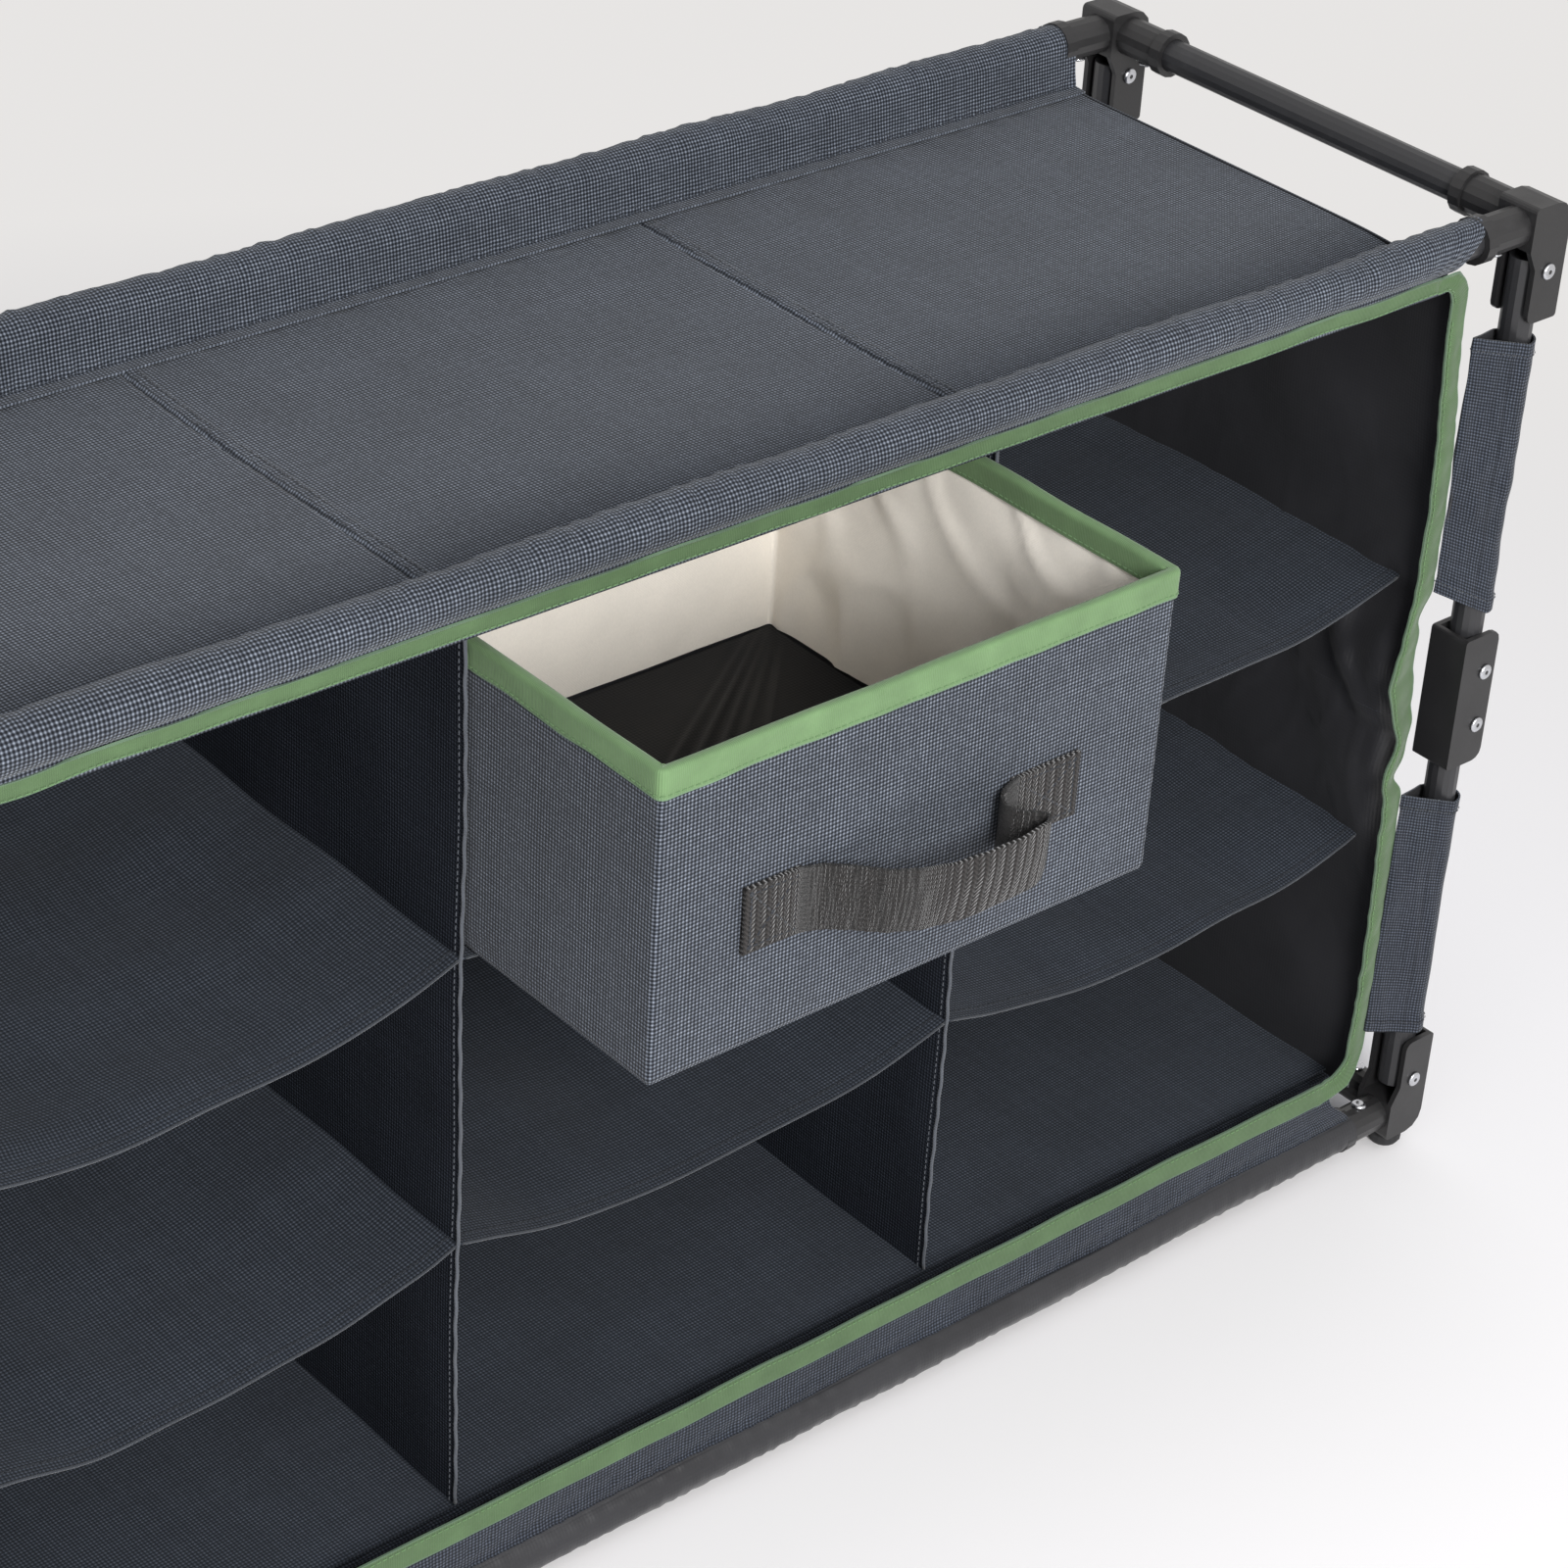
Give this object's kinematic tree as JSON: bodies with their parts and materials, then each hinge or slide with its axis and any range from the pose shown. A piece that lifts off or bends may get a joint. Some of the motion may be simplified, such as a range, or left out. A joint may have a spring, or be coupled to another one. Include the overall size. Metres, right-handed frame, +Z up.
{
  "type": "folding camping cupboard",
  "caption": "Folding camping cupboard: a textile box of open compartments with a pull-out textile drawer, hung in a steel tube frame whose posts break at their knees.",
  "frame": {"origin": "on the ground, below the middle of the whole object's bounding box, drawer and handle included", "axes": "+X along the cupboard to the right as seen from its open front, +Y to its back, +Z up"},
  "size_m": [1.1526, 0.5193, 0.66],
  "materials": {
    "black_steel": "black powder coat, half gloss",
    "black_plastic": "black moulded plastic, faint texture",
    "black_rubber": "matt",
    "two_tone_weave": "coarse two-tone weave, pale dots on navy",
    "dark_cloth": "coated dark grey-blue cloth, soft sheen",
    "green_binding": "folded green tape, sewn along both edges",
    "dark_webbing": "herringbone webbing, dark brown"
  },
  "bodies": {
    "base": {"base_tube_front": "black_steel", "base_tube_rear": "black_steel", "base_tube_left": "black_steel", "base_tube_right": "black_steel", "base_corner_front_right": "black_plastic", "base_corner_front_left": "black_plastic", "base_corner_rear_right": "black_plastic", "base_corner_rear_left": "black_plastic", "foot_front_right": "black_rubber", "foot_front_left": "black_rubber", "foot_rear_right": "black_rubber", "foot_rear_left": "black_rubber", "base_sleeve_front": "two_tone_weave", "base_sleeve_rear": "two_tone_weave", "floor_panel": "dark_cloth", "fabric_shell": "dark_cloth", "front_binding": "green_binding", "divider_left": "dark_cloth", "divider_right": "dark_cloth", "lower_shelf_left": "dark_cloth", "lower_shelf_centre": "dark_cloth", "lower_shelf_right": "dark_cloth", "upper_shelf_left": "dark_cloth", "upper_shelf_centre": "dark_cloth", "upper_shelf_right": "dark_cloth"},
    "top": {"top_tube_front": "black_steel", "top_tube_rear": "black_steel", "top_tube_left": "black_steel", "top_tube_right": "black_steel", "top_corner_front_right": "black_plastic", "top_corner_front_left": "black_plastic", "top_corner_rear_right": "black_plastic", "top_corner_rear_left": "black_plastic", "top_sleeve_front": "two_tone_weave", "top_sleeve_rear": "two_tone_weave", "top_cover": "dark_cloth"},
    "lower_front_right": {"lower_post_front_right": "black_steel", "lower_sleeve_front_right": "two_tone_weave"},
    "knee_front_right": {"knee_bracket_front_right": "black_plastic"},
    "upper_front_right": {"upper_post_front_right": "black_steel", "upper_sleeve_front_right": "two_tone_weave"},
    "lower_front_left": {"lower_post_front_left": "black_steel", "lower_sleeve_front_left": "two_tone_weave"},
    "knee_front_left": {"knee_bracket_front_left": "black_plastic"},
    "upper_front_left": {"upper_post_front_left": "black_steel", "upper_sleeve_front_left": "two_tone_weave"},
    "lower_rear_right": {"lower_post_rear_right": "black_steel", "lower_sleeve_rear_right": "two_tone_weave"},
    "knee_rear_right": {"knee_bracket_rear_right": "black_plastic"},
    "upper_rear_right": {"upper_post_rear_right": "black_steel", "upper_sleeve_rear_right": "two_tone_weave"},
    "lower_rear_left": {"lower_post_rear_left": "black_steel", "lower_sleeve_rear_left": "two_tone_weave"},
    "knee_rear_left": {"knee_bracket_rear_left": "black_plastic"},
    "upper_rear_left": {"upper_post_rear_left": "black_steel", "upper_sleeve_rear_left": "two_tone_weave"},
    "drawer": {"drawer_box": "two_tone_weave", "drawer_base_board": "dark_cloth", "drawer_binding": "green_binding", "drawer_handle": "dark_webbing"}
  },
  "joints": [
    {"name": "fold_front_right", "type": "hinge", "parent": "base", "child": "lower_front_right", "pos_m": [0.563, -0.09635, 0.05392], "axis": [0, -1, 0], "range_deg": [0, 84], "deforming": ["divider_left", "divider_right", "fabric_shell", "front_binding", "base_sleeve_front", "base_sleeve_rear", "top_sleeve_front", "top_sleeve_rear", "lower_shelf_left", "lower_shelf_centre", "lower_shelf_right", "upper_shelf_left", "upper_shelf_centre", "upper_shelf_right", "lower_sleeve_front_right", "lower_sleeve_front_left", "lower_sleeve_rear_right", "lower_sleeve_rear_left", "upper_sleeve_front_right", "upper_sleeve_front_left", "upper_sleeve_rear_right", "upper_sleeve_rear_left", "drawer_box", "drawer_base_board", "drawer_binding", "drawer_handle"]},
    {"name": "lower_knee_front_right", "type": "hinge", "parent": "lower_front_right", "child": "knee_front_right", "pos_m": [0.566, -0.09635, 0.31751], "axis": [0, 1, 0], "range_deg": [0, 84]},
    {"name": "upper_knee_front_right", "type": "hinge", "parent": "knee_front_right", "child": "upper_front_right", "pos_m": [0.566, -0.09635, 0.35449], "axis": [0, 1, 0], "range_deg": [0, 84]},
    {"name": "fold_front_left", "type": "hinge", "parent": "base", "child": "lower_front_left", "pos_m": [-0.563, -0.09635, 0.05392], "axis": [0, 1, 0], "range_deg": [0, 84]},
    {"name": "lower_knee_front_left", "type": "hinge", "parent": "lower_front_left", "child": "knee_front_left", "pos_m": [-0.566, -0.09635, 0.31751], "axis": [0, -1, 0], "range_deg": [0, 84]},
    {"name": "upper_knee_front_left", "type": "hinge", "parent": "knee_front_left", "child": "upper_front_left", "pos_m": [-0.566, -0.09635, 0.35449], "axis": [0, -1, 0], "range_deg": [0, 84]},
    {"name": "fold_rear_right", "type": "hinge", "parent": "base", "child": "lower_rear_right", "pos_m": [0.563, 0.24365, 0.05392], "axis": [0, -1, 0], "range_deg": [0, 84]},
    {"name": "lower_knee_rear_right", "type": "hinge", "parent": "lower_rear_right", "child": "knee_rear_right", "pos_m": [0.566, 0.24365, 0.31751], "axis": [0, 1, 0], "range_deg": [0, 84]},
    {"name": "upper_knee_rear_right", "type": "hinge", "parent": "knee_rear_right", "child": "upper_rear_right", "pos_m": [0.566, 0.24365, 0.35449], "axis": [0, 1, 0], "range_deg": [0, 84]},
    {"name": "fold_rear_left", "type": "hinge", "parent": "base", "child": "lower_rear_left", "pos_m": [-0.563, 0.24365, 0.05392], "axis": [0, 1, 0], "range_deg": [0, 84]},
    {"name": "lower_knee_rear_left", "type": "hinge", "parent": "lower_rear_left", "child": "knee_rear_left", "pos_m": [-0.566, 0.24365, 0.31751], "axis": [0, -1, 0], "range_deg": [0, 84]},
    {"name": "upper_knee_rear_left", "type": "hinge", "parent": "knee_rear_left", "child": "upper_rear_left", "pos_m": [-0.566, 0.24365, 0.35449], "axis": [0, -1, 0], "range_deg": [0, 84]},
    {"name": "top_pivot", "type": "hinge", "parent": "upper_front_right", "child": "top", "pos_m": [0.563, -0.09635, 0.61808], "axis": [0, -1, 0], "range_deg": [0, 84]},
    {"name": "drawer_slide", "type": "slide", "parent": "base", "child": "drawer", "axis": [0, -1, 0], "range_m": [-0.138, 0.137]}
  ],
  "couplings": [
    {"joint": "lower_knee_front_right", "follows": "fold_front_right", "ratio": 1},
    {"joint": "upper_knee_front_right", "follows": "fold_front_right", "ratio": 1},
    {"joint": "fold_front_left", "follows": "fold_front_right", "ratio": 1},
    {"joint": "lower_knee_front_left", "follows": "fold_front_right", "ratio": 1},
    {"joint": "upper_knee_front_left", "follows": "fold_front_right", "ratio": 1},
    {"joint": "fold_rear_right", "follows": "fold_front_right", "ratio": 1},
    {"joint": "lower_knee_rear_right", "follows": "fold_front_right", "ratio": 1},
    {"joint": "upper_knee_rear_right", "follows": "fold_front_right", "ratio": 1},
    {"joint": "fold_rear_left", "follows": "fold_front_right", "ratio": 1},
    {"joint": "lower_knee_rear_left", "follows": "fold_front_right", "ratio": 1},
    {"joint": "upper_knee_rear_left", "follows": "fold_front_right", "ratio": 1},
    {"joint": "top_pivot", "follows": "fold_front_right", "ratio": 1}
  ]
}
